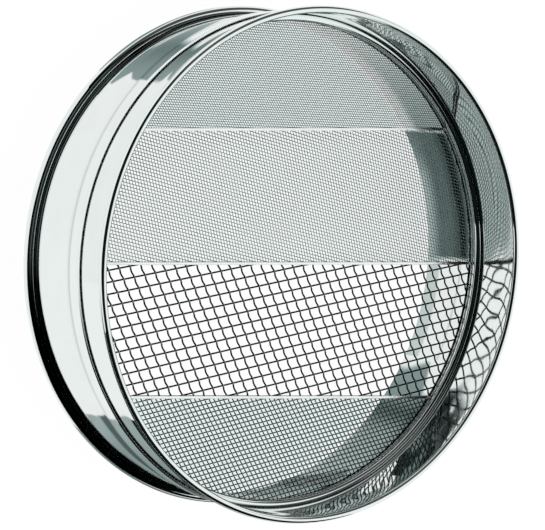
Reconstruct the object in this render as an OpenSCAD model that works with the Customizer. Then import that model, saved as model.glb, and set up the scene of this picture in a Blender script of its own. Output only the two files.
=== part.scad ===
// Round flour sieve: a two-part sheet hoop with rolled rims and a lift-out
// screen that carries four gauges of woven wire cloth.
// Millimetres. +Z is up, the origin is on the table under the centre.
// The middle divider runs along Y and the outer two lean 2 degrees away from
// it. The cloth goes from the finest at -X over fine and coarse to the medium
// gauge at +X.

/* [Frame] */
// Outside diameter over the rolled top rim
rim_d = 210; // [180:1:260]
// How much wider the rolled bottom rim is, over its diameter
foot_extra = 2.2; // [1.6:0.1:2.6]
// Overall height
frame_h = 60.4; // [54:0.1:80]
// Thickness of the hoop sheet
sheet_t = 0.6; // [0.5:0.05:0.7]
// Outer radius of the roll on the top rim
top_roll_r = 1.5; // [1.3:0.1:1.6]
// Outer radius of the roll on the bottom rim
bottom_roll_r = 2.05; // [1.9:0.05:2.2]
// Height taken off the underside of the bottom roll, so that it stands flat
foot_flat = 0.12; // [0.05:0.01:0.2]

/* [Joint between the hoops] */
// Height of the ledge that the screen rests on
ledge_z = 32.4; // [26:0.1:34]
// Height of the socket wall above the ledge
socket_h = 8.4; // [7:0.1:10]
// Radial gap between the socket and the upper hoop
socket_gap = 0.3; // [0.2:0.05:0.35]
// Height over which the lower hoop steps out to the socket
joggle_h = 1.6; // [1.2:0.1:2.4]
// Outer radius of the inward roll that holds the screen down
clamp_roll_r = 1.7; // [1.5:0.1:1.9]

/* [Screen] */
// Width of the flat clamping rings
ring_w = 3.2; // [2.8:0.1:5]
// Thickness of the rings and the divider strips
ring_t = 0.4; // [0.3:0.05:0.6]
// Width of a divider strip
strip_w = 1.2; // [1:0.1:3]
// Place of the strip between the finest and the fine cloth, on the X axis
divider_finest_x = -54.9; // [-62:0.1:-45]
// Place of the middle strip on the X axis
divider_centre_x = 0.6; // [-4:0.1:4]
// Place of the strip between the coarse and the medium cloth, on the X axis
divider_medium_x = 56.5; // [45:0.1:62]
// Angle by which each outer strip leans away from the middle one towards +Y
divider_fan = 2.15; // [-3:0.05:3]
// Number of spot welds between the rings
weld_n = 24; // [12:4:36]

/* [Cloth] */
// Pitch of the finest cloth
finest_pitch = 0.97; // [0.9:0.01:2]
// Wire diameter of the finest cloth
finest_wire = 0.28; // [0.2:0.01:0.4]
// Pitch of the fine cloth
fine_pitch = 1.31; // [1.2:0.01:2.5]
// Wire diameter of the fine cloth
fine_wire = 0.3; // [0.25:0.01:0.45]
// Pitch of the medium cloth
medium_pitch = 1.91; // [1.6:0.01:3]
// Wire diameter of the medium cloth
medium_wire = 0.5; // [0.3:0.01:0.55]
// Pitch of the coarse cloth
coarse_pitch = 4.68; // [3:0.01:8]
// Wire diameter of the coarse cloth
coarse_wire = 0.7; // [0.5:0.01:1]

/* [Hidden] */

$fn = 180;

STEEL = [0.80, 0.83, 0.83];
STEEL_DARK = [0.62, 0.66, 0.66];
WIRE = [0.45, 0.49, 0.49];

rim_r = rim_d / 2;
wire_slack = 0.05;               // between a roll and the wire inside it
curl_gap = 0.3;                  // between the cut edge of a roll and its wall

// Upper hoop
top_ri = rim_r - 2 * top_roll_r;
top_ro = top_ri + sheet_t;
top_roll_z = frame_h - top_roll_r;

// Lower hoop
low_ri = rim_r + foot_extra / 2 - 2 * bottom_roll_r;
low_ro = low_ri + sheet_t;
low_roll_z = bottom_roll_r - foot_flat;
sock_ri = top_ro + socket_gap;
sock_ro = sock_ri + sheet_t;
sock_z = ledge_z + socket_h;
joggle_top = ledge_z - 0.5;
joggle_bottom = joggle_top - joggle_h;

// Screen
seat_gap = 0.05;
ring_ro = sock_ri - 0.3;
ring_ri = ring_ro - ring_w;
ring_low_z = ledge_z + seat_gap;
cloth_z = ring_low_z + ring_t;
cloth_gap = 2 * coarse_wire + 0.05;
ring_up_z = cloth_z + cloth_gap;
screen_top = ring_up_z + ring_t;
cloth_r = ring_ro - 1.3;
weld_r = ring_ro - 0.65;
edge_in = 0.06;                  // a cloth's wires stop this far from the divider's middle

// Inward roll of the upper hoop
clamp_r = top_ro - clamp_roll_r;
clamp_z = screen_top + 0.1 + clamp_roll_r;

// Side of the joggle: a smooth step from 0 to 1
function ease(t) = t * t * (3 - 2 * t);

module roll(r, z, outer, inner) {
    translate([r, z]) difference() {
        circle(r = outer, $fn = 64);
        circle(r = inner, $fn = 64);
    }
}

// Strip of sheet, rolled outwards at the foot round a wire,
// and stepped outwards above into a socket with a ledge inside it.
module lower_hoop() color(STEEL)
    rotate_extrude() difference() {
        union() {
            roll(low_ri + bottom_roll_r, low_roll_z, bottom_roll_r, bottom_roll_r - sheet_t);
            polygon(concat(
                [[low_ri, low_roll_z], [low_ro, low_roll_z]],
                [for (i = [0 : 12]) [
                    low_ro + (sock_ro - low_ro) * ease(i / 12),
                    joggle_bottom + joggle_h * i / 12]],
                [[sock_ro, sock_z - 0.12], [sock_ro - 0.12, sock_z], [sock_ri + 0.12, sock_z],
                 [sock_ri, sock_z - 0.12], [sock_ri, ledge_z], [low_ri, ledge_z]]));
        }
        // cut edge of the roll
        translate([low_ro, low_roll_z + 0.2]) square([curl_gap, bottom_roll_r]);
        // flat underneath
        translate([low_ri - 1, -1]) square([2 * bottom_roll_r + 2, 1]);
    }

module lower_rim_wire() color(STEEL_DARK)
    rotate_extrude() translate([low_ri + bottom_roll_r, low_roll_z])
        circle(r = bottom_roll_r - sheet_t - wire_slack, $fn = 48);

// Strip of sheet, rolled outwards at the top round a wire and inwards at its
// lower edge round a second wire. Its lower end drops into the socket.
module upper_hoop() color(STEEL)
    rotate_extrude() difference() {
        union() {
            roll(top_ri + top_roll_r, top_roll_z, top_roll_r, top_roll_r - sheet_t);
            roll(clamp_r, clamp_z, clamp_roll_r, clamp_roll_r - sheet_t);
            translate([top_ri, clamp_z]) square([sheet_t, top_roll_z - clamp_z]);
        }
        translate([top_ro, top_roll_z - 0.2 - top_roll_r]) square([curl_gap, top_roll_r]);
        translate([top_ri - curl_gap, clamp_z + 0.2]) square([curl_gap, clamp_roll_r]);
    }

module upper_rim_wire() color(STEEL_DARK)
    rotate_extrude() translate([top_ri + top_roll_r, top_roll_z])
        circle(r = top_roll_r - sheet_t - wire_slack, $fn = 48);

module clamp_roll_wire() color(STEEL_DARK)
    rotate_extrude() translate([clamp_r, clamp_z])
        circle(r = clamp_roll_r - sheet_t - wire_slack, $fn = 48);

// The two flat rings that hold the edge of the cloth between them
module flat_ring(z) color(STEEL)
    translate([0, 0, z]) difference() {
        cylinder(r = ring_ro, h = ring_t);
        translate([0, 0, -1]) cylinder(r = ring_ri, h = ring_t + 2);
    }
module screen_ring_lower() flat_ring(ring_low_z);
module screen_ring_upper() flat_ring(ring_up_z);

module screen_spot_welds() color(STEEL_DARK)
    for (i = [0 : weld_n - 1]) rotate([0, 0, (i + 0.5) * 360 / weld_n])
        translate([weld_r, 0, cloth_z]) cylinder(r = 0.45, h = cloth_gap, $fn = 24);

// Divider strips, cut to the round of the rings. A strip's middle line is
// x = p[0] + p[1] * y.
finest_line = [divider_finest_x, -tan(divider_fan)];
centre_line = [divider_centre_x, 0];
medium_line = [divider_medium_x, tan(divider_fan)];
module strip(p, z) color(STEEL)
    translate([0, 0, z]) intersection() {
        translate([p[0], 0, 0]) rotate([0, 0, -atan(p[1])])
            translate([-strip_w / 2, -rim_r, 0]) cube([strip_w, rim_d, ring_t]);
        translate([0, 0, -1]) cylinder(r = ring_ri - 0.02, h = ring_t + 2);
    }
module divider_finest_top() strip(finest_line, ring_up_z);
module divider_finest_bottom() strip(finest_line, ring_low_z);
module divider_centre_top() strip(centre_line, ring_up_z);
module divider_centre_bottom() strip(centre_line, ring_low_z);
module divider_medium_top() strip(medium_line, ring_up_z);
module divider_medium_bottom() strip(medium_line, ring_low_z);

// One set of parallel wires of a cloth, which fills the disc of radius
// cloth_r between the lines p and q. The wires run at angle a from the X axis,
// and the offset k of a wire is measured square to it. A wire is drawn
// straight: the warp lies on the weft. The points of a wire are
// k * [-s, c] + t * [c, s], and meet() gives the t at which it reaches the
// line p moved by e along X.
function meet(c, s, k, p, e) = (p[0] + e + k * (s + p[1] * c)) / (c - p[1] * s);
function span(c, s, k, p, q, e) =
    let (half = sqrt(max(0, cloth_r * cloth_r - k * k)),
         ta = meet(c, s, k, p, e), tb = meet(c, s, k, q, -e))
    [max(-half, min(ta, tb)), min(half, max(ta, tb))];

module wires(p, q, pitch, d, a, z) {
    c = cos(a);
    s = sin(a);
    n = ceil(cloth_r / pitch);
    color(WIRE) for (i = [-n : n]) {
        k = (i + 0.37) * pitch;
        t = span(c, s, k, p, q, edge_in + d / 2);
        if (abs(k) < cloth_r - 0.5 && t[1] - t[0] > 2.5 * d)
            translate([-s * k + c * t[0], c * k + s * t[0], z])
                rotate([0, 0, a]) rotate([0, 90, 0])
                    cylinder(d = d, h = t[1] - t[0], $fn = 16);
    }
}
module weft(p, q, pitch, d, a) wires(p, q, pitch, d, a, cloth_z + d / 2);
module warp(p, q, pitch, d, a) wires(p, q, pitch, d, a, cloth_z + 1.5 * d + 0.01);

// Stands for a side where the cloth runs on to its round edge
far_left = [-1000, 0];
far_right = [1000, 0];

module finest_warp_wires() warp(far_left, finest_line, finest_pitch, finest_wire, 35.5);
module finest_weft_wires() weft(far_left, finest_line, finest_pitch, finest_wire, 89.9);
module fine_warp_wires() warp(finest_line, centre_line, fine_pitch, fine_wire, 15.6);
module fine_weft_wires() weft(finest_line, centre_line, fine_pitch, fine_wire, 77.7);
module coarse_warp_wires() warp(centre_line, medium_line, coarse_pitch, coarse_wire, 27.5);
module coarse_weft_wires() weft(centre_line, medium_line, coarse_pitch, coarse_wire, 99.7);
module medium_warp_wires() warp(medium_line, far_right, medium_pitch, medium_wire, 32.6);
module medium_weft_wires() weft(medium_line, far_right, medium_pitch, medium_wire, 99.9);

lower_hoop();
lower_rim_wire();
upper_hoop();
upper_rim_wire();
clamp_roll_wire();
screen_ring_lower();
screen_ring_upper();
screen_spot_welds();
finest_warp_wires();
finest_weft_wires();
fine_warp_wires();
fine_weft_wires();
coarse_warp_wires();
coarse_weft_wires();
medium_warp_wires();
medium_weft_wires();
divider_finest_top();
divider_finest_bottom();
divider_centre_top();
divider_centre_bottom();
divider_medium_top();
divider_medium_bottom();
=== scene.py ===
import math

import bpy
import numpy as np
from mathutils import Matrix, Vector


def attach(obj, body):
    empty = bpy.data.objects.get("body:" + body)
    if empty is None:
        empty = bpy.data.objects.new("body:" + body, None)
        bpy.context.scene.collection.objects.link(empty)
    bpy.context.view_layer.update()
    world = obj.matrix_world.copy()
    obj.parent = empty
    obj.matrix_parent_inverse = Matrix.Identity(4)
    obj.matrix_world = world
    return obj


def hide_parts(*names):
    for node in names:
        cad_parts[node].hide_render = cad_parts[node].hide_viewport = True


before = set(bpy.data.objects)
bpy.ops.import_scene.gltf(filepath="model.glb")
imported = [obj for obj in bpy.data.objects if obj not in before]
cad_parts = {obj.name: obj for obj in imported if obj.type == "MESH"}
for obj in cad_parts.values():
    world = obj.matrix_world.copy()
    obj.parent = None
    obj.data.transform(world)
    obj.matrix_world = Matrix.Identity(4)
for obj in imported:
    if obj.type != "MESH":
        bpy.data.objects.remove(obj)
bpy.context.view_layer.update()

MM = 0.001

# ---------------------------------------------------------------- sizes, in mm, as in part.scad
RIM_R = 105.0
FOOT_R = 106.1
FRAME_H = 60.4
SHEET = 0.6
TOP_ROLL, BOTTOM_ROLL, CLAMP_ROLL = 1.5, 2.05, 1.7
FOOT_FLAT = 0.12
LEDGE_Z, SOCKET_H, SOCKET_GAP, JOGGLE_H = 32.4, 8.4, 0.3, 1.6
TOP_RI = RIM_R - 2 * TOP_ROLL
TOP_RO = TOP_RI + SHEET
TOP_ROLL_Z = FRAME_H - TOP_ROLL
LOW_RI = FOOT_R - 2 * BOTTOM_ROLL
LOW_RO = LOW_RI + SHEET
LOW_ROLL_Z = BOTTOM_ROLL - FOOT_FLAT
SOCK_RI = TOP_RO + SOCKET_GAP
SOCK_RO = SOCK_RI + SHEET
SOCK_Z = LEDGE_Z + SOCKET_H
SOCK_BEVEL = 0.3
JOGGLE_TOP = LEDGE_Z - 0.5
JOGGLE_BOTTOM = JOGGLE_TOP - JOGGLE_H
RING_W, RING_T = 3.2, 0.4
RING_RO = SOCK_RI - 0.3
RING_RI = RING_RO - RING_W
COARSE_WIRE = 0.7
RING_LOW_Z = LEDGE_Z + 0.05
CLOTH_Z = RING_LOW_Z + RING_T
CLOTH_GAP = 2 * COARSE_WIRE + 0.05
RING_UP_Z = CLOTH_Z + CLOTH_GAP
SCREEN_TOP = RING_UP_Z + RING_T
CLOTH_R = RING_RO - 1.3
STRIP_W = 1.2
FAN = math.tan(math.radians(2.15))
# the middle line of a divider is x = line[0] + line[1] * y
FINEST_LINE, CENTRE_LINE, MEDIUM_LINE = (-54.9, -FAN), (0.6, 0.0), (56.5, FAN)
FAR_LEFT, FAR_RIGHT = (-1000.0, 0.0), (1000.0, 0.0)
EDGE_IN = 0.06
CLAMP_R = TOP_RO - CLAMP_ROLL
CLAMP_Z = SCREEN_TOP + 0.1 + CLAMP_ROLL
CURL_GAP = 0.3


# ---------------------------------------------------------------- materials
class Nodes:
    """Short names for building a node tree."""

    def __init__(self, material):
        material.use_nodes = True
        self.tree = material.node_tree
        self.tree.nodes.clear()

    def add(self, kind, inputs=None, **settings):
        node = self.tree.nodes.new(kind)
        for key, value in settings.items():
            setattr(node, key, value)
        for key, value in (inputs or {}).items():
            if isinstance(value, bpy.types.NodeSocket):
                self.tree.links.new(value, node.inputs[key])
            else:
                node.inputs[key].default_value = value
        return node

    def math(self, op, a, b=None, clamp=False):
        inputs = {0: a}
        if b is not None:
            inputs[1] = b
        return self.add("ShaderNodeMath", inputs, operation=op, use_clamp=clamp).outputs[0]

    def span(self, value, low, high, to_low, to_high):
        return self.add(
            "ShaderNodeMapRange",
            {"Value": value, "From Min": low, "From Max": high, "To Min": to_low, "To Max": to_high},
        ).outputs["Result"]

    def ramp(self, value, stops):
        node = self.add("ShaderNodeValToRGB", {"Fac": value})
        while len(node.color_ramp.elements) < len(stops):
            node.color_ramp.elements.new(0.5)
        for element, (place, colour) in zip(node.color_ramp.elements, stops):
            element.position = place
            element.color = (*colour, 1.0)
        return node.outputs["Color"]

    def out(self, shader):
        self.add("ShaderNodeOutputMaterial", {"Surface": shader})


def around(n):
    """Object coordinates turned into (angle, radius, height), so that a pattern can run round the hoop."""
    place = n.add("ShaderNodeTexCoord").outputs["Object"]
    xyz = n.add("ShaderNodeSeparateXYZ", {"Vector": place})
    angle = n.math("ARCTAN2", xyz.outputs["Y"], xyz.outputs["X"])
    radius = n.math(
        "SQRT",
        n.math("ADD", n.math("MULTIPLY", xyz.outputs["X"], xyz.outputs["X"]), n.math("MULTIPLY", xyz.outputs["Y"], xyz.outputs["Y"])),
    )
    return place, xyz, angle, radius


def polished_sheet(name, base=(0.87, 0.905, 0.895), low=0.03, high=0.085, scuff=1.0):
    """Bright stainless sheet: fine polishing lines round the hoop, faint wipe marks, and a few light scuffs all over.
    """
    m = bpy.data.materials.new(name)
    n = Nodes(m)
    place, xyz, angle, radius = around(n)
    ringed = n.add("ShaderNodeCombineXYZ", {"X": n.math("MULTIPLY", angle, 2.2), "Y": n.math("MULTIPLY", radius, 2600.0), "Z": n.math("MULTIPLY", xyz.outputs["Z"], 2600.0)}).outputs[0]
    lines = n.add("ShaderNodeTexNoise", {"Vector": ringed, "Scale": 1.0, "Detail": 4.0, "Roughness": 0.6}).outputs["Fac"]
    smudge = n.add("ShaderNodeTexNoise", {"Vector": place, "Scale": 34.0, "Detail": 5.0, "Roughness": 0.62, "Distortion": 0.6}).outputs["Fac"]
    spots = n.add("ShaderNodeTexNoise", {"Vector": place, "Scale": 420.0, "Detail": 2.0}).outputs["Fac"]
    wiped = n.span(smudge, 0.38, 0.72, low, high)
    fine = n.span(lines, 0.3, 0.75, -0.012, 0.022)
    specks = n.span(spots, 0.62, 0.8, 0.0, 0.06 * scuff)
    rough = n.math("ADD", n.math("ADD", wiped, fine), specks, clamp=True)
    tint = n.ramp(
        n.math("ADD", n.math("MULTIPLY", smudge, 0.7), n.math("MULTIPLY", lines, 0.3)),
        [(0.25, tuple(c * 0.955 for c in base)), (0.55, base), (0.8, tuple(min(1.0, c * 1.03) for c in base))],
    )
    # painted shade: the two bends of the step are darkened in colour, for the dark lines that their reflections show
    outside = n.span(radius, 0.1023, 0.1025, 0.0, 1.0)
    for height, width, depth in ((33.2, 0.75, 0.34), (30.5, 0.6, 0.14)):
        off = n.math("DIVIDE", n.math("SUBTRACT", xyz.outputs["Z"], height * MM), width * MM)
        painted_bend_shade = n.math("MULTIPLY", n.math("MULTIPLY", n.math("EXPONENT", n.math("MULTIPLY", n.math("MULTIPLY", off, off), -1.0)), depth), outside)
        mix = n.add("ShaderNodeMix", {"Factor": painted_bend_shade}, data_type="RGBA")
        n.tree.links.new(tint, mix.inputs[6])
        mix.inputs[7].default_value = (0.10, 0.14, 0.135, 1.0)
        tint = mix.outputs[2]
    # the sheared edge of the socket is left satin
    edge = n.math("MULTIPLY", n.span(xyz.outputs["Z"], (SOCK_Z - 0.25) * MM, (SOCK_Z - 0.1) * MM, 0.0, 1.0), n.span(xyz.outputs["Z"], (SOCK_Z + 0.05) * MM, (SOCK_Z + 0.1) * MM, 1.0, 0.0))
    edge = n.math("MULTIPLY", edge, n.span(radius, (SOCK_RI - 0.05) * MM, (SOCK_RI - 0.02) * MM, 0.0, 1.0))
    rough = n.math("ADD", rough, n.math("MULTIPLY", edge, 0.55), clamp=True)
    bump = n.add("ShaderNodeBump", {"Height": lines, "Strength": 0.05, "Distance": 0.00002})
    shader = n.add(
        "ShaderNodeBsdfPrincipled",
        {"Base Color": tint, "Metallic": 1.0, "Roughness": rough, "Normal": bump.outputs["Normal"]},
    )
    n.out(shader.outputs[0])
    return m


def strip_metal(name, base=(0.90, 0.93, 0.925), low=0.12, high=0.26):
    """Flat strip and punched rings: a finely ground face with a little grain."""
    m = bpy.data.materials.new(name)
    n = Nodes(m)
    place = n.add("ShaderNodeTexCoord").outputs["Object"]
    xyz = n.add("ShaderNodeSeparateXYZ", {"Vector": place})
    long_way = n.add("ShaderNodeCombineXYZ", {"X": n.math("MULTIPLY", xyz.outputs["X"], 5200.0), "Y": n.math("MULTIPLY", xyz.outputs["Y"], 60.0), "Z": n.math("MULTIPLY", xyz.outputs["Z"], 2000.0)}).outputs[0]
    grain = n.add("ShaderNodeTexNoise", {"Vector": long_way, "Scale": 1.0, "Detail": 3.0}).outputs["Fac"]
    cloud = n.add("ShaderNodeTexNoise", {"Vector": place, "Scale": 90.0, "Detail": 4.0}).outputs["Fac"]
    rough = n.math("ADD", n.span(cloud, 0.35, 0.7, low, high), n.span(grain, 0.3, 0.7, -0.03, 0.05), clamp=True)
    tint = n.ramp(grain, [(0.3, tuple(c * 0.93 for c in base)), (0.65, base)])
    bump = n.add("ShaderNodeBump", {"Height": grain, "Strength": 0.12, "Distance": 0.00002})
    shader = n.add("ShaderNodeBsdfPrincipled", {"Base Color": tint, "Metallic": 1.0, "Roughness": rough, "Normal": bump.outputs["Normal"]})
    n.out(shader.outputs[0])
    return m


def drawn_wire(name, base, low=0.16, high=0.34, crest=None, bright=(0.76, 0.90, 0.88), rim=1.0):
    """Drawn stainless wire with small die marks and uneven shine. crest is the height, in mm, over which a wire that
    bends over the others turns from its own colour to a painted highlight on its crests."""
    m = bpy.data.materials.new(name)
    n = Nodes(m)
    place = n.add("ShaderNodeTexCoord").outputs["Object"]
    marks = n.add("ShaderNodeTexNoise", {"Vector": place, "Scale": 900.0, "Detail": 3.0, "Roughness": 0.6}).outputs["Fac"]
    cloud = n.add("ShaderNodeTexNoise", {"Vector": place, "Scale": 55.0, "Detail": 4.0}).outputs["Fac"]
    rough = n.math("ADD", n.span(cloud, 0.35, 0.7, low, high), n.span(marks, 0.35, 0.75, -0.03, 0.05), clamp=True)
    tint = n.ramp(
        n.math("ADD", n.math("MULTIPLY", cloud, 0.5), n.math("MULTIPLY", marks, 0.5)),
        [(0.3, tuple(c * 0.72 for c in base)), (0.52, base), (0.75, tuple(min(1.0, c * 1.25) for c in base))],
    )
    if crest is not None:
        # painted highlight: the crests of the bent wires are coloured bright
        height = n.add("ShaderNodeSeparateXYZ", {"Vector": place}).outputs["Z"]
        painted_crest_highlight = n.add(
            "ShaderNodeMapRange",
            {"Value": height, "From Min": crest[0] * MM, "From Max": crest[1] * MM, "To Min": 0.0, "To Max": 1.0},
            interpolation_type="SMOOTHSTEP",
        ).outputs["Result"]
        mix = n.add("ShaderNodeMix", {"Factor": painted_crest_highlight}, data_type="RGBA")
        n.tree.links.new(tint, mix.inputs[6])
        mix.inputs[7].default_value = (*bright, 1.0)
        tint = mix.outputs[2]
    bump = n.add("ShaderNodeBump", {"Height": marks, "Strength": 0.15, "Distance": 0.00002})
    shader = n.add("ShaderNodeBsdfPrincipled", {"Base Color": tint, "Metallic": 1.0, "Roughness": rough, "Specular Tint": (rim * 0.94, rim, rim, 1.0), "Normal": bump.outputs["Normal"]})
    n.out(shader.outputs[0])
    return m


SHEET_METAL = polished_sheet("polished_sheet")
RING_METAL = strip_metal("ground_ring")
STRIP_METAL = strip_metal("bright_strip", base=(0.95, 0.97, 0.965), low=0.16, high=0.3)
CORE_METAL = drawn_wire("rim_core_wire", (0.62, 0.66, 0.66))


# ---------------------------------------------------------------- meshes
def make_object(name, points, faces, uv, material, sharp_angle=None):
    mesh = bpy.data.meshes.new(name)
    points = np.asarray(points, dtype=np.float32) * MM
    faces = np.asarray(faces, dtype=np.int32)
    count, width = faces.shape
    mesh.vertices.add(len(points))
    mesh.vertices.foreach_set("co", points.ravel())
    mesh.loops.add(count * width)
    mesh.loops.foreach_set("vertex_index", faces.ravel())
    mesh.polygons.add(count)
    mesh.polygons.foreach_set("loop_start", np.arange(0, count * width, width, dtype=np.int32))
    mesh.update(calc_edges=True)
    mesh.polygons.foreach_set("use_smooth", np.ones(count, dtype=bool))
    if uv is not None:
        layer = mesh.uv_layers.new(name="OFBake")
        layer.data.foreach_set("uv", np.asarray(uv, dtype=np.float32).ravel())
    mesh.validate()
    if sharp_angle is not None:
        mesh.set_sharp_from_angle(angle=math.radians(sharp_angle))
    mesh.materials.append(material)
    ob = bpy.data.objects.new(name, mesh)
    bpy.context.scene.collection.objects.link(ob)
    return ob


def lathe(name, profile, material, steps=512, wobble=None, sharp_angle=35):
    """Turns a closed (r, z) outline, in mm, round Z. The outline runs so that its faces point out."""
    profile = np.asarray(profile, dtype=np.float64)
    r, z = profile[:, 0], profile[:, 1]
    if np.sum(r * np.roll(z, -1) - np.roll(r, -1) * z) < 0:
        r, z = r[::-1], z[::-1]
    n = len(r)
    angle = np.arange(steps) * 2 * math.pi / steps
    rr = np.repeat(r[None, :], steps, 0)
    zz = np.repeat(z[None, :], steps, 0)
    if wobble is not None:
        rr = rr + wobble(angle[:, None], rr, zz)
    points = np.stack([rr * np.cos(angle)[:, None], rr * np.sin(angle)[:, None], zz], -1).reshape(-1, 3)
    i = np.arange(steps)[:, None]
    j = np.arange(n)[None, :]
    i2, j2 = (i + 1) % steps, (j + 1) % n
    faces = np.stack([i * n + j, i2 * n + j, i2 * n + j2, i * n + j2], -1).reshape(-1, 4)
    length = np.concatenate([[0], np.cumsum(np.hypot(np.diff(np.append(r, r[0])), np.diff(np.append(z, z[0]))))])
    v = length / length[-1] * 0.96 + 0.02
    u0 = np.broadcast_to(i / steps, (steps, n))
    u1 = np.broadcast_to((i + 1) / steps, (steps, n))
    v0 = np.broadcast_to(v[None, :n], (steps, n))
    v1 = np.broadcast_to(v[None, 1:], (steps, n))
    uv = np.stack([np.stack([u0, v0], -1), np.stack([u1, v0], -1), np.stack([u1, v1], -1), np.stack([u0, v1], -1)], 2)
    return make_object(name, points, faces, uv.reshape(-1, 2), material, sharp_angle)


def arc(cr, cz, radius, start, end, count):
    a = np.radians(np.linspace(start, end, count))
    return [(cr + radius * math.cos(t), cz + radius * math.sin(t)) for t in a]


def line(a, b, count):
    return [(a[0] + (b[0] - a[0]) * t, a[1] + (b[1] - a[1]) * t) for t in np.linspace(0, 1, count)]


def ease(t):
    return t * t * (3 - 2 * t)


def lower_profile():
    cr, cz, b = LOW_RI + BOTTOM_ROLL, LOW_ROLL_Z, BOTTOM_ROLL
    inner = b - SHEET
    end_r = LOW_RO + CURL_GAP
    out_end = math.degrees(math.acos((end_r - cr) / b))
    in_end = math.degrees(math.acos((end_r - cr) / inner))
    p = arc(cr, cz, b, out_end, -180, 64)
    p = [(r, max(z, 0.0)) for r, z in p]
    p += line((LOW_RI, cz), (LOW_RI, LEDGE_Z), 24)[1:]
    p += [(SOCK_RI, LEDGE_Z)]
    p += line((SOCK_RI, LEDGE_Z), (SOCK_RI, SOCK_Z - 0.12), 6)[1:]
    p += arc(SOCK_RI + 0.12, SOCK_Z - 0.12, 0.12, 180, 90, 4)[1:]
    p += [(SOCK_RO - SOCK_BEVEL, SOCK_Z)]
    p += line((SOCK_RO - SOCK_BEVEL, SOCK_Z), (SOCK_RO, SOCK_Z - 1.0), 4)[1:]
    p += line((SOCK_RO, SOCK_Z - 1.0), (SOCK_RO, JOGGLE_TOP), 10)[1:]
    p += [(LOW_RO + (SOCK_RO - LOW_RO) * ease(t), JOGGLE_BOTTOM + JOGGLE_H * t) for t in np.linspace(1, 0, 14)][1:]
    p += line((LOW_RO, JOGGLE_BOTTOM), (LOW_RO, cz), 28)[1:]
    p += arc(cr, cz, inner, 180, 360 + in_end, 48)[1:]
    return p


def upper_profile():
    cr, cz, b = TOP_RI + TOP_ROLL, TOP_ROLL_Z, TOP_ROLL
    inner = b - SHEET
    end_r = TOP_RO + CURL_GAP
    out_end = 360 - math.degrees(math.acos((end_r - cr) / b))
    in_end = 360 - math.degrees(math.acos((end_r - cr) / inner))
    k, kz, kb = CLAMP_R, CLAMP_Z, CLAMP_ROLL
    kin = kb - SHEET
    stop_r = TOP_RI - CURL_GAP
    kout_end = math.degrees(math.acos((stop_r - k) / kb)) - 360
    kin_end = math.degrees(math.acos((stop_r - k) / kin)) - 360
    p = arc(cr, cz, b, out_end, 540, 64)
    p += line((TOP_RI, cz), (TOP_RI, kz), 16)[1:]
    p += arc(k, kz, kin, 0, kin_end, 44)[1:]
    p += arc(k, kz, kb, kout_end, 0, 60)
    p += line((TOP_RO, kz), (TOP_RO, cz), 30)[1:]
    p += arc(cr, cz, inner, 540, in_end, 44)[1:]
    return p


def sheet_wobble(angle, r, z):
    """The slight unevenness of a rolled sheet, which shows only in its reflections, and fades out at the rims and the socket."""
    wall = np.clip((z - 6) / 6, 0, 1) * np.clip((27 - z) / 5, 0, 1) + np.clip((z - 44) / 4, 0, 1) * np.clip((55 - z) / 3, 0, 1)
    soft = 0.035 * np.sin(5 * angle + 0.9) + 0.022 * np.sin(11 * angle + 2.1 + z * 0.05) + 0.012 * np.sin(23 * angle + 0.4 - z * 0.09)
    bulge = 0.085 * np.exp(-(((z - 50.5) / 4.0) ** 2))
    return wall * soft + bulge * np.clip((z - 41) / 3, 0, 1) * np.clip((57.4 - z) / 3, 0, 1)


def rounded_ring(ri, ro, z0, z1, bevel=0.1):
    p = arc(ro - bevel, z0 + bevel, bevel, -90, 0, 5)
    p += arc(ro - bevel, z1 - bevel, bevel, 0, 90, 5)
    p += arc(ri + bevel, z1 - bevel, bevel, 90, 180, 5)
    p += arc(ri + bevel, z0 + bevel, bevel, 180, 270, 5)
    return p


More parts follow.
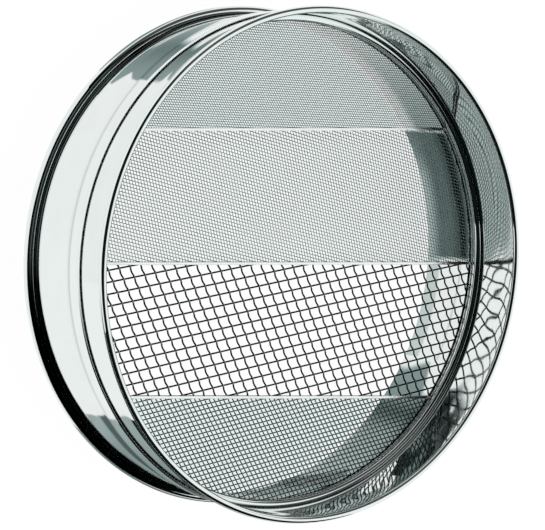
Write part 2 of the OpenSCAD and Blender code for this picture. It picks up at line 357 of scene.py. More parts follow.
def tubes(name, paths, radius, sides, material, row_scale=1.0):
    """One mesh of round wires. paths is [(centres (n, 3), side vector)], in mm."""
    all_points, all_faces, all_uv = [], [], []
    base = 0
    ring = np.arange(sides) * 2 * math.pi / sides
    rows = len(paths)
    longest = max(np.linalg.norm(p[-1] - p[0]) for p, _ in paths)
    for row, (centres, side) in enumerate(paths):
        n = len(centres)
        tangent = np.gradient(centres, axis=0)
        tangent /= np.linalg.norm(tangent, axis=1)[:, None]
        up = np.cross(tangent, side[None, :])
        up /= np.linalg.norm(up, axis=1)[:, None]
        shell = centres[:, None, :] + radius * (np.cos(ring)[None, :, None] * side[None, None, :] + np.sin(ring)[None, :, None] * up[:, None, :])
        points = np.concatenate([shell.reshape(-1, 3), centres[:1], centres[-1:]])
        i = np.arange(n - 1)[:, None]
        j = np.arange(sides)[None, :]
        j2 = (j + 1) % sides
        quads = np.stack([i * sides + j, (i + 1) * sides + j, (i + 1) * sides + j2, i * sides + j2], -1).reshape(-1, 4)
        first, last = n * sides, n * sides + 1
        # each end is closed by quads between its middle and pairs of sides
        caps = []
        for k in range(0, sides, 2):
            caps.append((first, k, (k + 1) % sides, (k + 2) % sides))
            e = (n - 1) * sides
            caps.append((last, e + (k + 2) % sides, e + (k + 1) % sides, e + k))
        faces = np.concatenate([quads, np.asarray(caps)]) + base
        along = np.concatenate([[0], np.cumsum(np.linalg.norm(np.diff(centres, axis=0), axis=1))]) / (longest * 1.05)
        v0, v1 = row / rows, (row + 0.9) / rows
        vs = v0 + (v1 - v0) * np.arange(sides + 1) / sides
        iu = np.broadcast_to(i, (n - 1, sides))
        ju = np.broadcast_to(j, (n - 1, sides))
        uv = np.stack([
            np.stack([along[iu], vs[ju]], -1),
            np.stack([along[iu + 1], vs[ju]], -1),
            np.stack([along[iu + 1], vs[ju + 1]], -1),
            np.stack([along[iu], vs[ju + 1]], -1)], 2).reshape(-1, 2)
        cap_uv = []
        for k in range(0, sides, 2):
            for at in (along[0], along[-1]):
                cap_uv += [(at, v0), (at, vs[k]), (at, vs[k + 1]), (at, vs[min(k + 2, sides)])]
        all_points.append(points)
        all_faces.append(faces)
        all_uv.append(np.concatenate([uv, np.asarray(cap_uv)]))
        base += len(points)
    return make_object(name, np.concatenate(all_points), np.concatenate(all_faces), np.concatenate(all_uv), material)


def meet(c, s, k, line, e):
    """Where a wire with points k * (-s, c) + t * (c, s) reaches a line that is moved by e along X."""
    return (line[0] + e + k * (s + line[1] * c)) / (c - line[1] * s)


def cloth(name, left, right, pitch, d, warp_angle, weft_angle, per_pitch, sides, warp_material, weft_material):
    """Wires that lie side by side, and wires across them that bend over each one."""
    edge = EDGE_IN + d / 2
    base = CLOTH_Z + d / 2
    made = []
    for label, own, other in (("warp", warp_angle, weft_angle), ("weft", weft_angle, warp_angle)):
        a, b = math.radians(own), math.radians(other)
        c, s = math.cos(a), math.sin(a)
        u = np.array([c, s, 0.0])
        across = np.array([-s, c, 0.0])
        other_across = np.array([-math.sin(b), math.cos(b), 0.0])
        slope = float(u @ other_across) / pitch
        paths = []
        n = math.ceil(CLOTH_R / pitch)
        for i in range(-n, n + 1):
            k = (i + 0.37) * pitch
            if abs(k) >= CLOTH_R - 0.5:
                continue
            half = math.sqrt(CLOTH_R**2 - k * k)
            ta, tb = meet(c, s, k, left, edge), meet(c, s, k, right, -edge)
            t0, t1 = max(-half, min(ta, tb)), min(half, max(ta, tb))
            if t1 - t0 <= 2.5 * d:
                continue
            start = k * float(across @ other_across) / pitch - 0.37
            if label == "weft":
                ts = np.linspace(t0, t1, max(2, math.ceil((t1 - t0) / 25)))
                rise = np.zeros(len(ts))
            else:
                # sample at fixed fractions of the other set's pitch, so that every crossing is met
                j0, j1 = sorted((start + t0 * slope, start + t1 * slope))
                js = np.arange(math.ceil(j0 * per_pitch), math.floor(j1 * per_pitch) + 1) / per_pitch
                ts = np.sort((js - start) / slope)
                ts = np.concatenate([[t0], ts[(ts > t0 + 0.1 * d) & (ts < t1 - 0.1 * d)], [t1]])
                phase = start + ts * slope
                rise = (d + 0.01) * (0.5 + 0.5 * np.cos(2 * math.pi * phase)) ** 1.2
            centres = k * across[None, :] + ts[:, None] * u[None, :]
            centres[:, 2] = base + rise
            paths.append((centres, across))
        made.append(tubes(f"{name}_{label}_bent" if label == "warp" else f"{name}_{label}_laid", paths, d / 2, sides, warp_material if label == "warp" else weft_material))
    return made


# ---------------------------------------------------------------- the frame of the sieve
lower = lathe("lower_hoop_sheet", lower_profile(), SHEET_METAL, steps=480, wobble=sheet_wobble)
upper = lathe("upper_hoop_sheet", upper_profile(), SHEET_METAL, steps=384, wobble=sheet_wobble)
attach(lower, "lower_frame")
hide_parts("lower_hoop")
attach(upper, "upper_frame")
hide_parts("upper_hoop")

for node, body, r, z, radius in (
    ("lower_rim_wire", "lower_frame", LOW_RI + BOTTOM_ROLL, LOW_ROLL_Z, BOTTOM_ROLL - SHEET - 0.05),
    ("upper_rim_wire", "upper_frame", TOP_RI + TOP_ROLL, TOP_ROLL_Z, TOP_ROLL - SHEET - 0.05),
    ("clamp_roll_wire", "upper_frame", CLAMP_R, CLAMP_Z, CLAMP_ROLL - SHEET - 0.05),
):
    core = lathe(node + "_core", arc(r, z, radius, 0, 345, 24), CORE_METAL, steps=256)
    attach(core, body)
    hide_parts(node)

# ---------------------------------------------------------------- the screen
for node, z in (("screen_ring_lower", RING_LOW_Z), ("screen_ring_upper", RING_UP_Z)):
    ring = lathe(node + "_flat", rounded_ring(RING_RI, RING_RO, z, z + RING_T), RING_METAL, steps=384)
    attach(ring, "screen")
    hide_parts(node)


def divider(name, line, z0, z1, top_side):
    """A strip with rounded long edges and shallow spot-weld dimples, its ends cut to the round of the ring."""
    bevel = 0.12
    half = STRIP_W / 2
    section = []
    for cx, cz, a0 in ((half - bevel, z1 - bevel, 0), (-half + bevel, z1 - bevel, 90), (-half + bevel, z0 + bevel, 180), (half - bevel, z0 + bevel, 270)):
        section += [(cx + bevel * math.cos(math.radians(a0 + t)), cz + bevel * math.sin(math.radians(a0 + t))) for t in (0, 30, 60, 90)]
    # extra points on the broad faces, where the dimples are
    flat = np.linspace(half - bevel, -half + bevel, 7)[1:-1]
    section = section[:4] + [(f, z1) for f in flat] + section[4:12] + [(f, z0) for f in flat[::-1]] + section[12:]
    section = np.asarray(section)
    m = len(section)
    lean = math.atan(line[1])
    along = np.array([math.sin(lean), math.cos(lean)])
    across = np.array([math.cos(lean), -math.sin(lean)])
    start = np.array([line[0], 0.0])[None, :] + section[:, :1] * across[None, :]
    mid = -(start @ along)
    reach = np.sqrt((start @ along) ** 2 + (RING_RI - 0.02) ** 2 - np.sum(start**2, axis=1))
    count = 420
    rows = []
    for s in np.linspace(-1, 1, count):
        t = mid + reach * s
        xy = start + t[:, None] * along[None, :]
        zs = section[:, 1].copy()
        spot = np.hypot((np.mean(t) + 6.0) % 12.0 - 6.0, section[:, 0])
        dip = 0.07 * np.clip(1 - (spot / 0.42) ** 2, 0, 1)
        broad = np.abs(section[:, 0]) < half - bevel + 1e-6
        if top_side:
            zs = np.where(broad & (section[:, 1] > (z0 + z1) / 2), zs - dip, zs)
        else:
            zs = np.where(broad & (section[:, 1] < (z0 + z1) / 2), zs + dip, zs)
        rows.append(np.concatenate([xy, zs[:, None]], axis=1))
    points = np.concatenate(rows + [np.mean(rows[0], axis=0)[None, :], np.mean(rows[-1], axis=0)[None, :]])
    i = np.arange(count - 1)[:, None]
    j = np.arange(m)[None, :]
    j2 = (j + 1) % m
    quads = np.stack([i * m + j, i * m + j2, (i + 1) * m + j2, (i + 1) * m + j], -1).reshape(-1, 4)
    caps = []
    a, b, e = count * m, count * m + 1, (count - 1) * m
    for k in range(0, m, 2):
        caps.append((a, (k + 2) % m, (k + 1) % m, k))
        caps.append((b, e + k, e + (k + 1) % m, e + (k + 2) % m))
    return make_object(name, points, np.concatenate([quads, np.asarray(caps)]), None, STRIP_METAL, 40)


for label, line_at in (("finest", FINEST_LINE), ("centre", CENTRE_LINE), ("medium", MEDIUM_LINE)):
    for side, z in (("top", RING_UP_Z), ("bottom", RING_LOW_Z)):
        bar = divider(f"divider_{label}_{side}_strip", line_at, z, z + RING_T, side == "top")
        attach(bar, "screen")
        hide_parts(f"divider_{label}_{side}")

CLOTHS = (
    # name, between which lines, pitch, wire, angles of warp and weft, samples in a bend, sides,
    # colours of warp and weft, which are painted shade, far darker than bare steel, colours of the painted crest
    # highlights, where a crest highlight starts, shine at the sides of a wire
    ("finest", FAR_LEFT, FINEST_LINE, 0.97, 0.28, 35.5, 89.9, 2, 6, (0.13, 0.205, 0.20), (0.185, 0.265, 0.258), (0.80, 0.92, 0.90), 1.3, 1.0),
    ("fine", FINEST_LINE, CENTRE_LINE, 1.31, 0.30, 15.6, 77.7, 2, 6, (0.28, 0.365, 0.356), (0.36, 0.455, 0.446), (0.84, 0.95, 0.93), 1.3, 1.0),
    ("coarse", CENTRE_LINE, MEDIUM_LINE, 4.68, 0.70, 27.5, 99.7, 12, 12, (0.006, 0.009, 0.009), (0.010, 0.015, 0.015), (0.34, 0.43, 0.42), 1.68, 0.14),
    ("medium", MEDIUM_LINE, FAR_RIGHT, 1.91, 0.50, 32.6, 99.9, 4, 8, (0.012, 0.02, 0.02), (0.03, 0.046, 0.045), (0.60, 0.72, 0.71), 1.45, 0.5),
)
for label, left, right, pitch, d, wa, fa, per, sides, warp_tone, weft_tone, painted_crest_highlight, start, rim in CLOTHS:
    warp_metal = drawn_wire(label + "_warp_wire", warp_tone, 0.18, 0.36, (CLOTH_Z + start * d, CLOTH_Z + 1.85 * d), painted_crest_highlight, rim)
    weft_metal = drawn_wire(label + "_weft_wire", weft_tone, 0.18, 0.36, rim=rim)
    for piece, way in zip(cloth(label, left, right, pitch, d, wa, fa, per, sides, warp_metal, weft_metal), ("warp", "weft")):
        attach(piece, "screen")
        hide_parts(f"{label}_{way}_wires")

weld = drawn_wire("weld_metal", (0.50, 0.52, 0.52), 0.3, 0.5)
for ob in [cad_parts["screen_spot_welds"]]:
    if ob.material_slots:
        for s in ob.material_slots:
            s.material = weld
    else:
        ob.data.materials.append(weld)

# ---------------------------------------------------------------- floor, light and camera
FLOOR_Z = 0.0


def emission(name, colour, strength, diffuse=None, share=0.0):
    m = bpy.data.materials.new(name)
    n = Nodes(m)
    glow = n.add("ShaderNodeEmission", {"Color": (*colour, 1.0), "Strength": strength}).outputs[0]
    if diffuse is not None:
        matt = n.add("ShaderNodeBsdfDiffuse", {"Color": (*diffuse, 1.0)}).outputs[0]
        glow = n.add("ShaderNodeAddShader", {0: glow, 1: matt}).outputs[0]
    n.out(glow)
    return m


def plate(name, corners, material):
    mesh = bpy.data.meshes.new(name)
    mesh.from_pydata([Vector(c) for c in corners], [], [tuple(range(len(corners)))])
    mesh.materials.append(material)
    ob = bpy.data.objects.new(name, mesh)
    bpy.context.scene.collection.objects.link(ob)
    return ob


def floor_material():
    """White seen straight on, with painted shade inside the skirt; in reflections a pale lit floor outside the skirt
    and painted shade under each cloth inside it, down to near black; and nothing from below.
    """
    m = bpy.data.materials.new("pale_floor")
    n = Nodes(m)
    path = n.add("ShaderNodeLightPath")
    place, xyz, angle, radius = around(n)
    x, y = xyz.outputs["X"], xyz.outputs["Y"]
    inside = n.span(radius, 0.1018, 0.1020, 1.0, 0.0)
    lean = n.math("MULTIPLY", y, FAN)
    tones = [n.ramp(inside, [(0.0, colour), (1.0, colour)]) for colour in ((1.0, 1.0, 1.0), tuple(c * FLOOR_GLOW for c in FLOOR_TINT))]
    # painted shade: under each cloth the floor inside the skirt is tinted, lightly as the camera sees it and much
    # darker in reflections
    for value, edge, way, colours in (
        (x, 3.1, -1, ((0.965, 0.995, 0.99), (0.40, 0.47, 0.46))),
        (n.math("ADD", x, lean), -54.0, -1, ((0.88, 0.96, 0.95), (0.075, 0.10, 0.097))),
        (n.math("SUBTRACT", x, lean), 61.0, 1, ((0.80, 0.89, 0.88), (0.22, 0.265, 0.258))),
    ):
        here = n.span(value, (edge - 0.2) * MM, (edge + 0.2) * MM, 0.0 if way > 0 else 1.0, 1.0 if way > 0 else 0.0)
        here = n.math("MULTIPLY", here, inside)
        for k, colour in enumerate(colours):
            mix = n.add("ShaderNodeMix", {"Factor": here}, data_type="RGBA")
            n.tree.links.new(tones[k], mix.inputs[6])
            mix.inputs[7].default_value = (*colour, 1.0)
            tones[k] = mix.outputs[2]
    # towards the camera the floor under the screen lies in shade
    shade = n.math("MULTIPLY", n.span(y, 12 * MM, 40 * MM, 1.0, 0.0), n.math("MULTIPLY", inside, 0.82))
    mix = n.add("ShaderNodeMix", {"Factor": shade}, data_type="RGBA")
    n.tree.links.new(tones[1], mix.inputs[6])
    mix.inputs[7].default_value = (0.01, 0.014, 0.014, 1.0)
    tones[1] = mix.outputs[2]
    page = n.add("ShaderNodeEmission", {"Color": tones[0], "Strength": 0.97}).outputs[0]
    lit = n.add("ShaderNodeEmission", {"Color": tones[1], "Strength": 1.0}).outputs[0]
    matt = n.add("ShaderNodeBsdfDiffuse", {"Color": (0.06, 0.06, 0.06, 1.0)}).outputs[0]
    base = n.add("ShaderNodeMixShader", {0: path.outputs["Is Camera Ray"], 1: lit, 2: page}).outputs[0]
    above = n.add("ShaderNodeAddShader", {0: base, 1: matt}).outputs[0]
    below = n.add("ShaderNodeNewGeometry").outputs["Backfacing"]
    n.out(n.add("ShaderNodeMixShader", {0: below, 1: above, 2: n.add("ShaderNodeBsdfTransparent").outputs[0]}).outputs[0])
    return m


FLOOR_TINT, FLOOR_GLOW = (0.975, 1.0, 0.995), 0.92
floor = plate("floor", [(-6, -6, FLOOR_Z), (6, -6, FLOOR_Z), (6, 6, FLOOR_Z), (-6, 6, FLOOR_Z)], floor_material())


LENS = (-54.1, -504.9, 734.5)


def only_reflected(ob):
    ob.visible_camera = ob.visible_diffuse = ob.visible_shadow = ob.visible_transmission = False
    return ob


def foot(angle, r=102.8):
    return np.array([r * np.cos(np.radians(angle)), r * np.sin(np.radians(angle))])


def mirrored(angle, height, r):
    """Where the floor is that the lens sees in an upright round wall, at this angle and height on the wall."""
    x, y = r * np.cos(np.radians(angle)), r * np.sin(np.radians(angle))
    vx, vy, vz = x - LENS[0], y - LENS[1], height - LENS[2]
    nx, ny = np.cos(np.radians(angle)), np.sin(np.radians(angle))
    dot = vx * nx + vy * ny
    t = height / -vz
    return x + t * (vx - 2 * dot * nx), y + t * (vy - 2 * dot * ny)


def glow_material(name):
    """A card that glows as its vertices say."""
    m = bpy.data.materials.new(name)
    n = Nodes(m)
    tone = n.add("ShaderNodeAttribute", attribute_name="glow").outputs["Color"]
    n.out(n.add("ShaderNodeEmission", {"Color": tone, "Strength": 1.0}).outputs[0])
    return m


# painted reflection: the cards below glow only in reflections, and put grey, pale and dark patches into the walls and
# rolls
CARD = glow_material("reflected_card")


def card(name, angles, heights, tone, r=102.7, z=0.4):
    """A card on the floor beside or inside the hoop, laid out by the place on the wall in which it is seen:
    tone(angle, height) is its glow, from 0 to the floor's own."""
    a, h = np.meshgrid(angles, heights, indexing="ij")
    x, y = mirrored(a, h, r)
    d = h / 1.387
    points = np.stack([x, y, np.full_like(x, z)], -1).reshape(-1, 3)
    rows, cols = a.shape
    i = np.arange(rows - 1)[:, None]
    j = np.arange(cols - 1)[None, :]
    faces = np.stack([i * cols + j, (i + 1) * cols + j, (i + 1) * cols + j + 1, i * cols + j + 1], -1).reshape(-1, 4)
    ob = make_object(name, points, faces, None, CARD)
    t = np.clip(tone(a, d), 0.0, FLOOR_GLOW).ravel()
    share = 0.68 + 0.34 * t
    glow = np.stack([t * share * 0.975 / 0.9724, t, t * (0.97 + 0.029 * t), np.ones_like(t)], -1)
    layer = ob.data.color_attributes.new("glow", "FLOAT_COLOR", "POINT")
    layer.data.foreach_set("color", glow.astype(np.float32).ravel())
    return only_reflected(ob)


def step(value, low, high):
    t = np.clip((value - low) / (high - low), 0, 1)
    return t * t * (3 - 2 * t)


def bump_at(value, middle, width):
    return np.exp(-(((value - middle) / width) ** 2))


def right_tone(a, d):
    # grey all the way up, with a darker band half way and black beyond; a sharp wavy edge on the left
    t = 0.30 + 0.11 * step(-a, 36, 50)
    t = t * (0.25 + 0.75 * step(d, 1.5, 7.5)) * (1 - 0.4 * bump_at(d, 5.2, 1.8) * step(a, -49, -45))
    t = t * (1 - 0.68 * step(d, 15.8, 17.6) * (1 - step(d, 21.2, 23.4)))
    t = t * (1 + 0.05 * np.sin(0.35 * a + 0.5 * d))
    end = np.interp(a, [-52, -40, -35, -30, -20], [36.4, 35.4, 33.6, 30.8, 28.8])
    t = t * (1 - step(d, end - 0.8, end + 0.8))
    edge = -50.8 - 0.104 * d + 0.16 * np.sin(0.55 * d) + 0.12 * np.sin(1.4 * d + 1.0)
    return t + (FLOOR_GLOW - t) * step(edge - a, 0.0, 0.35)


def left_tone(a, d):
    # a grey patch low down and another higher up, joined near their left edge
    near = np.interp(d, [5, 9, 14, 18.5, 29, 32, 34, 37, 42], [-133.5, -132.5, -136.5, -134, -133, -134.5, -137, -134, -133])
    far = np.interp(d, [5, 10, 14.4, 18.7, 21, 30, 34, 36, 38, 40], [-149, -149, -168, -158, -150, -149, -164, -159, -150, -147])
    t = 0.34 - 0.13 * bump_at(a, -145.5, 6.5) + 0.16 * step(-a, 152, 168)
    t = t * (1 - 0.30 * bump_at(d, 24.0, 1.6)) * (1 + 0.25 * bump_at(d, 10.5, 2.2) * step(-a, 138, 146))
    fade = step(near - a, 0.0, 0.5) * step(a - far, 0.0, 4.0) * step(d, 3.5, 6.5) * (1 - step(d, 39.5, 42.5))
    return FLOOR_GLOW - (FLOOR_GLOW - t) * fade


card("card_right", np.arange(-56.4, 12, 0.4), np.arange(0.0, 52.4, 0.6), right_tone)
card("card_left", np.arange(-172.0, -119.0, 0.4), np.arange(4.0, 60.0, 0.6), left_tone)
# further out on the right there is a black patch on the floor, which the rims see
edge_line = [tuple(float(v) for v in mirrored(-50.6 - 0.077 * h, h, 102.7)) for h in range(10, 62, 6)]
far_right = edge_line + [(98, -116), (104, -180), (210, -563), (390, -460), (529, -287)] + [tuple(foot(-28.5, r)) for r in (602, 300, 108)] + [tuple(foot(a, 108.0)) for a in range(-30, -38, -2)]
ob = make_object("card_far_right", [(x, y, 0.3) for x, y in far_right], [list(range(len(far_right)))], None, CARD)
layer = ob.data.color_attributes.new("glow", "FLOAT_COLOR", "POINT")
layer.data.foreach_set("color", np.tile(np.array([0.004, 0.006, 0.006, 1.0], dtype=np.float32), len(far_right)))
only_reflected(ob)


def fading_side(name, angles, inner, dark_end, pale_end):
    """One side of the black patch, which runs out softly."""
    a, share = np.meshgrid(np.radians(angles), np.array([0.0, 0.08, 0.22, 0.5, 1.0]), indexing="ij")
    r = inner + share * (600.0 - inner)
    points = np.stack([r * np.cos(a), r * np.sin(a), np.full_like(a, 0.2)], -1).reshape(-1, 3)
    rows, cols = a.shape
    i = np.arange(rows - 1)[:, None]
    j = np.arange(cols - 1)[None, :]
    faces = np.stack([i * cols + j, i * cols + j + 1, (i + 1) * cols + j + 1, (i + 1) * cols + j], -1).reshape(-1, 4)
    ob = make_object(name, points, faces, None, CARD)
    t = (FLOOR_GLOW * step((np.degrees(a) - dark_end) / (pale_end - dark_end), 0.0, 1.0) ** 1.6).ravel()
    glow = np.stack([t * 0.975 + 0.004, t + 0.006, t * 0.995 + 0.006, np.ones_like(t)], -1)
    layer = ob.data.color_attributes.new("glow", "FLOAT_COLOR", "POINT")
    layer.data.foreach_set("color", glow.astype(np.float32).ravel())
    return only_reflected(ob)


fading_side("card_fading_right", np.arange(-28.5, 21.0, 1.5), 108.0, -27.0, 18.0)
fading_side("card_fading_left", np.arange(-86.0, -49.0, 2.0), 152.0, -60.0, -84.0)


def finest_tone(a, d):
    low = 0.47 + 0.39 * np.clip((a - 128) / 30, 0, 1)
    return FLOOR_GLOW + (low - FLOOR_GLOW) * step(d, 4.0, 9.0)


def fine_tone(a, d):
    t = 0.15 + 0.40 * (1 - step(d, 1.5, 8.0)) * (1 - 0.8 * step(a, 108, 121))
    t = t * (1 - 0.45 * step(d, 12.5, 15.5)) + 0.06 * step(d, 19.8, 20.8)
    return t * (1 - step(d, 16.2, 17.2) * (1 - step(d, 19.2, 20.4)))


def coarse_tone(a, d):
    # a pale strip along the foot
    return FLOOR_GLOW - 0.27 * (1 - step(d, 6.5, 7.5)) - 0.35 * bump_at(d, 16.5, 0.35)


def medium_tone(a, d):
    t = 0.43 - 0.27 * bump_at(a, 48, 4.5) - 0.12 * step(a, 50, 56) + 0.16 * step(-a, -20, -4) + 0.10 * bump_at(a, 24, 12)
    t = t * (1 - 0.4 * step(d, 17.0, 21.5)) * (1 + 0.25 * bump_at(d, 1.0, 2.5) * step(-a, -44, -36))
    end = 59.5 + 2.5 * step(d, 3, 14) - 9.0 * step(d, 13.5, 18.5)
    return t + (FLOOR_GLOW - t) * step(a - end, 0.0, 2.0)


def upper_dark(a, d):
    # beside the medium cloth, the inside of the upper hoop sees a dark corner
    return 0.22 - 0.20 * step(a, 41.0, 45.0) + 0.12 * step(a, 54.5, 56.0)


INNER = 102.0
card("card_under_finest", np.arange(124.2, 186, 0.6), np.arange(0.0, 32.7, 0.7), finest_tone, INNER)
card("card_under_fine", np.arange(90.4, 123.9, 0.6), np.arange(0.0, 32.7, 0.4), fine_tone, INNER)
card("card_under_coarse", np.arange(64.0, 90.2, 0.6), np.arange(0.0, 32.7, 0.4), coarse_tone, INNER)
card("card_under_medium", np.arange(-8.0, 63.8, 0.6), np.arange(0.0, 32.7, 0.7), medium_tone, INNER)
corner = [(21, 55), (24, 61.5), (30, 64), (40, 64.5), (50, 64), (50, 48), (30, 48)]
ob = make_object("card_corner_end", [(x, y, 0.25) for x, y in corner], [list(range(len(corner)))], None, CARD)
layer = ob.data.color_attributes.new("glow", "FLOAT_COLOR", "POINT")
layer.data.foreach_set("color", np.tile(np.array([0.02, 0.026, 0.026, 1.0], dtype=np.float32), len(corner)))
only_reflected(ob)
card("card_corner", np.arange(38.0, 57.2, 0.6), np.arange(33.0, 59.0, 1.0), upper_dark, INNER, 0.3)


def hood_material():
    """Dark seen from below and clear from above, so that it shades the rolled foot alone."""
    m = bpy.data.materials.new("hood_card")
    n = Nodes(m)
    under = n.add("ShaderNodeNewGeometry").outputs["Backfacing"]
    tone = n.add("ShaderNodeAttribute", attribute_name="glow").outputs["Color"]
    dark = n.add("ShaderNodeEmission", {"Color": tone, "Strength": 1.0}).outputs[0]
    clear = n.add("ShaderNodeBsdfTransparent").outputs[0]
    n.out(n.add("ShaderNodeMixShader", {0: under, 1: clear, 2: dark}).outputs[0])
    return m


def hood():
    """A dark ring low over the rolled foot, wider on the right and running out at both ends."""
    angles = np.arange(-176.0, -3.0, 2.0)
    outer = np.interp(
        angles,
        [-176, -160, -148, -135, -105, -85, -75, -60, -50, -40, -30, -20, -4],
        [103.1, 103.5, 104.6, 107.6, 108.4, 112.0, 117.0, 130.0, 128.0, 116.0, 108.5, 105.0, 103.2],
    )
    share = np.array([0.0, 0.16, 0.22, 0.26, 0.32, 0.5, 0.75, 1.0])
    points, tones = [], []
    for a, ro in zip(angles, outer):
        for t in share:
            r = 102.9 + t * min(ro - 102.9, 5.5) if t < 0.4 else 102.9 + t * (ro - 102.9)
            points.append((*foot(a, r), 6.0))
            grey = 0.17 * float(bump_at(r, 104.25, 0.35)) * float(step(-a, 82, 95)) * float(step(a, -146, -134))
            tones.append((grey * 0.75, grey, grey * 0.98, 1.0))
    rows, cols = len(angles), len(share)
    i = np.arange(rows - 1)[:, None]
    j = np.arange(cols - 1)[None, :]
    faces = np.stack([i * cols + j, i * cols + j + 1, (i + 1) * cols + j + 1, (i + 1) * cols + j], -1).reshape(-1, 4)
    ob = make_object("hood", points, faces, None, hood_material())
    layer = ob.data.color_attributes.new("glow", "FLOAT_COLOR", "POINT")
    layer.data.foreach_set("color", np.asarray(tones, dtype=np.float32).ravel())
    return only_reflected(ob)


hood()


def standing_card():
    """A low pale card on the left, for the outer side of the rolled foot."""
    angles = np.arange(-134.0, -83.0, 2.0)
    points = [(*foot(a, 126.0), z) for a in angles for z in (0.5, 20.0)]
    faces = [(2 * i, 2 * i + 2, 2 * i + 3, 2 * i + 1) for i in range(len(angles) - 1)]
    ob = make_object("standing_card", points, faces, None, CARD)
    layer = ob.data.color_attributes.new("glow", "FLOAT_COLOR", "POINT")
    tone = np.array([*(np.array(FLOOR_TINT) * FLOOR_GLOW), 1.0], dtype=np.float32)
    layer.data.foreach_set("color", np.tile(tone, len(points)))
    return only_reflected(ob)


standing_card()


def flag():
    """A dark card hung on the right, about as high as the rim and up, for the rolled top rim."""
    angles = np.arange(-68.0, 37.0, 3.0)
    points = [(*foot(a, 300.0), z) for a in angles for z in (47.0, 420.0)]
    faces = [(2 * i, 2 * i + 2, 2 * i + 3, 2 * i + 1) for i in range(len(angles) - 1)]
    ob = make_object("flag_card", points, faces, None, CARD)
    layer = ob.data.color_attributes.new("glow", "FLOAT_COLOR", "POINT")
    layer.data.foreach_set("color", np.tile(np.array([0.004, 0.006, 0.006, 1.0], dtype=np.float32), len(points)))
    return only_reflected(ob)


flag()

world = bpy.data.worlds.new("studio")
bpy.context.scene.world = world
world.use_nodes = True
wn = Nodes(world)
direction = wn.add("ShaderNodeTexCoord").outputs["Generated"]


def toward(x, y, z):
    length = math.sqrt(x * x + y * y + z * z)
    return wn.add("ShaderNodeVectorMath", {0: direction, 1: (x / length, y / length, z / length)}, operation="DOT_PRODUCT").outputs["Value"]


def soft(value, low, high):
    return wn.add("ShaderNodeMapRange", {"Value": value, "From Min": low, "From Max": high, "To Min": 0.0, "To Max": 1.0}, interpolation_type="SMOOTHSTEP").outputs["Result"]


# the room is a white tent with a dark opening on the camera's side, up to overhead
xyz = wn.add("ShaderNodeSeparateXYZ", {"Vector": direction})
turn = math.radians(-72.0)
facing = wn.add("ShaderNodeVectorMath", {0: direction, 1: (math.cos(turn), math.sin(turn), 0.0)}, operation="DOT_PRODUCT").outputs["Value"]
turn = math.radians(-170.0)
aside = wn.add("ShaderNodeVectorMath", {0: direction, 1: (math.cos(turn), math.sin(turn), 0.0)}, operation="DOT_PRODUCT").outputs["Value"]
sideways = wn.math("MAXIMUM", soft(facing, -0.30, -0.08), wn.math("MULTIPLY", soft(aside, 0.12, 0.32), 0.93))
azimuth = wn.math("ARCTAN2", xyz.outputs["Y"], xyz.outputs["X"])
share = wn.span(azimuth, -math.pi, math.pi, 0.0, 1.0)
# the lower edge of the opening, as the sine of its elevation, round the room
floor_line = wn.ramp(share, [(turn_at, (sine,) * 3) for turn_at, sine in (
    (0.0, 0.30), (0.07, 0.30), (0.11, 0.20), (0.25, 0.20), (0.29, 0.45), (0.35, 0.45), (0.385, 0.02), (0.50, 0.02), (0.56, 0.32), (0.64, 0.5),
    (0.85, 0.5), (0.90, 0.12), (0.96, 0.12), (1.0, 0.30))])
above = wn.math("SUBTRACT", xyz.outputs["Z"], floor_line)
low_edge = soft(above, -0.07, 0.07)
dark = wn.math("MULTIPLY", sideways, low_edge)
room = wn.add("ShaderNodeMix", {"Factor": dark}, data_type="RGBA")
room.inputs[6].default_value = (0.93, 0.965, 0.955, 1.0)
room.inputs[7].default_value = (0.004, 0.007, 0.007, 1.0)
path = wn.add("ShaderNodeLightPath")
seen = wn.add("ShaderNodeBackground", {"Color": (1.0, 1.0, 1.0, 1.0), "Strength": 1.0})
glossy = wn.add("ShaderNodeBackground", {"Color": room.outputs[2], "Strength": 1.0})
both = wn.add("ShaderNodeMixShader", {0: path.outputs["Is Camera Ray"], 1: glossy.outputs[0], 2: seen.outputs[0]})
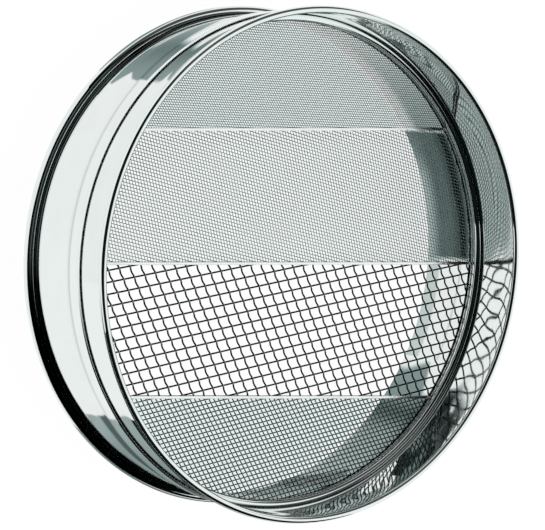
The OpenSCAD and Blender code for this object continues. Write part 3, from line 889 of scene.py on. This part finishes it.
wn.add("ShaderNodeOutputWorld", {"Surface": both.outputs[0]})


def area(name, place, aim, size, power, colour=(1, 1, 1), glossy=False):
    light = bpy.data.lights.new(name, "AREA")
    light.shape = "DISK"
    light.size = size
    light.energy = power
    light.color = colour
    ob = bpy.data.objects.new(name, light)
    ob.location = place
    ob.rotation_euler = (Vector(aim) - Vector(place)).to_track_quat("-Z", "Y").to_euler()
    ob.visible_glossy = glossy
    ob.visible_camera = False
    bpy.context.scene.collection.objects.link(ob)
    return ob


area("overhead_soft", (0.15, 0.2, 1.3), (0, 0, 0.03), 1.0, 9.0)

# the camera: measured from the two rims of the sieve in the photograph
THETA, PSI, DIST, FOCAL = math.radians(35.806), math.radians(-7.527), 8.2660, 2086.55
CX, CY = 283.12, 261.22
TURN = math.radians(-96.12)
back = Vector((math.sin(THETA), 0, math.cos(THETA)))
ax = Vector((-math.cos(THETA), 0, math.sin(THETA)))
up0 = Vector((0, -1, 0))
right = math.cos(PSI) * ax - math.sin(PSI) * up0
upward = math.sin(PSI) * ax + math.cos(PSI) * up0
place = back * DIST * RIM_R * MM
# turn it a little so that the middle of the picture is on the optical axis
aim = -back * FOCAL + right * (272.5 - CX) - upward * (265.0 - CY)
back2 = -aim.normalized()
right2 = (right - back2 * right.dot(back2)).normalized()
up2 = back2.cross(right2)
spin = Matrix.Rotation(TURN, 3, "Z")
place = spin @ place + Vector((0, 0, (FRAME_H - 29.75) * MM))
rotation = Matrix((spin @ right2, spin @ up2, spin @ back2)).transposed()
cam = bpy.data.cameras.new("camera")
cam.sensor_fit = "HORIZONTAL"
cam.sensor_width = 36.0
cam.lens = 36.0 * aim.length / 545.0
cam.clip_start, cam.clip_end = 0.05, 50.0
camera = bpy.data.objects.new("camera", cam)
camera.matrix_world = Matrix.Translation(place) @ rotation.to_4x4()
bpy.context.scene.collection.objects.link(camera)
bpy.context.scene.camera = camera
bpy.context.scene.view_settings.view_transform = "Standard"
bpy.context.scene.view_settings.look = "None"
